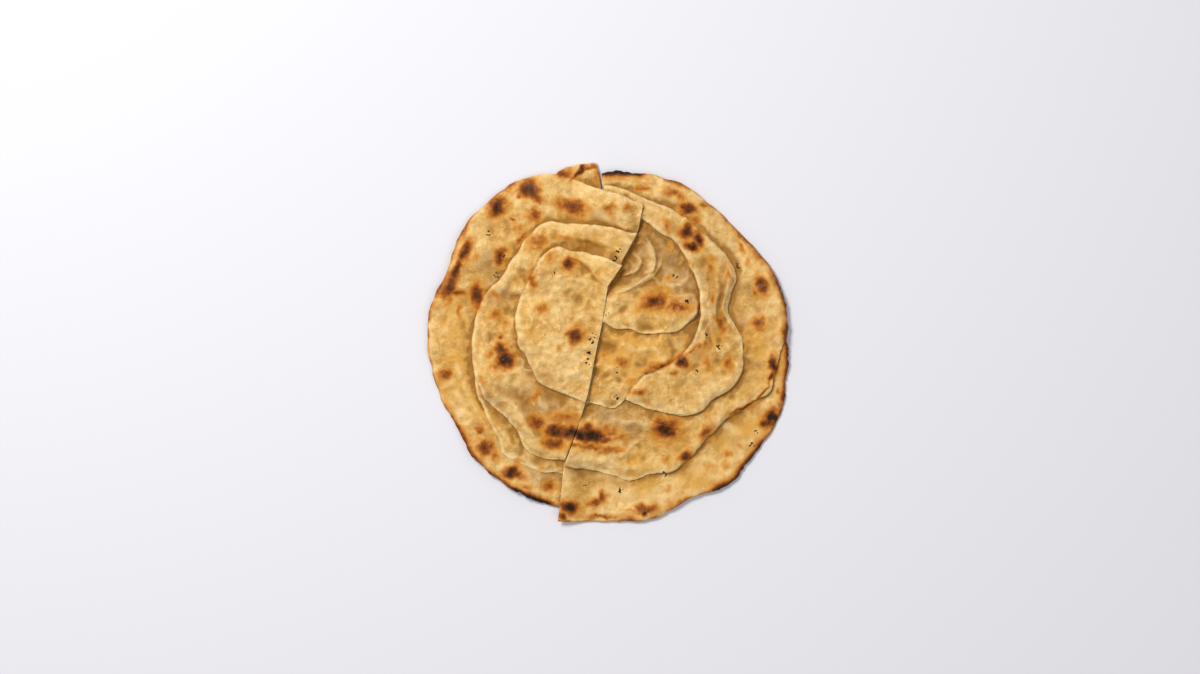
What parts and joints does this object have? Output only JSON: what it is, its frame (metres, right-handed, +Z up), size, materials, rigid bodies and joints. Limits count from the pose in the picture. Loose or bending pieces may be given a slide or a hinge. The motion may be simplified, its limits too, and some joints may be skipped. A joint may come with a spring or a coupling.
{
  "type": "lachha paratha",
  "caption": "Round flaky layered flatbread, cut across the middle, its halves lying together; coiled sheets overlap from a thin rim to a raised middle.",
  "frame": {"origin": "on the surface that the paratha lies on, under the middle of its round outline", "axes": "+Z up through the thickness; +Y towards the back end of the knife cut, where one half laps over the other; +X towards the half that is lapped over"},
  "size_m": [0.1984, 0.1977, 0.0134],
  "materials": {
    "baked_dough": "oiled, browned in spots and charred at the edges"
  },
  "bodies": {
    "root": {"left_half": "baked_dough", "right_half": "baked_dough"}
  },
  "joints": []
}
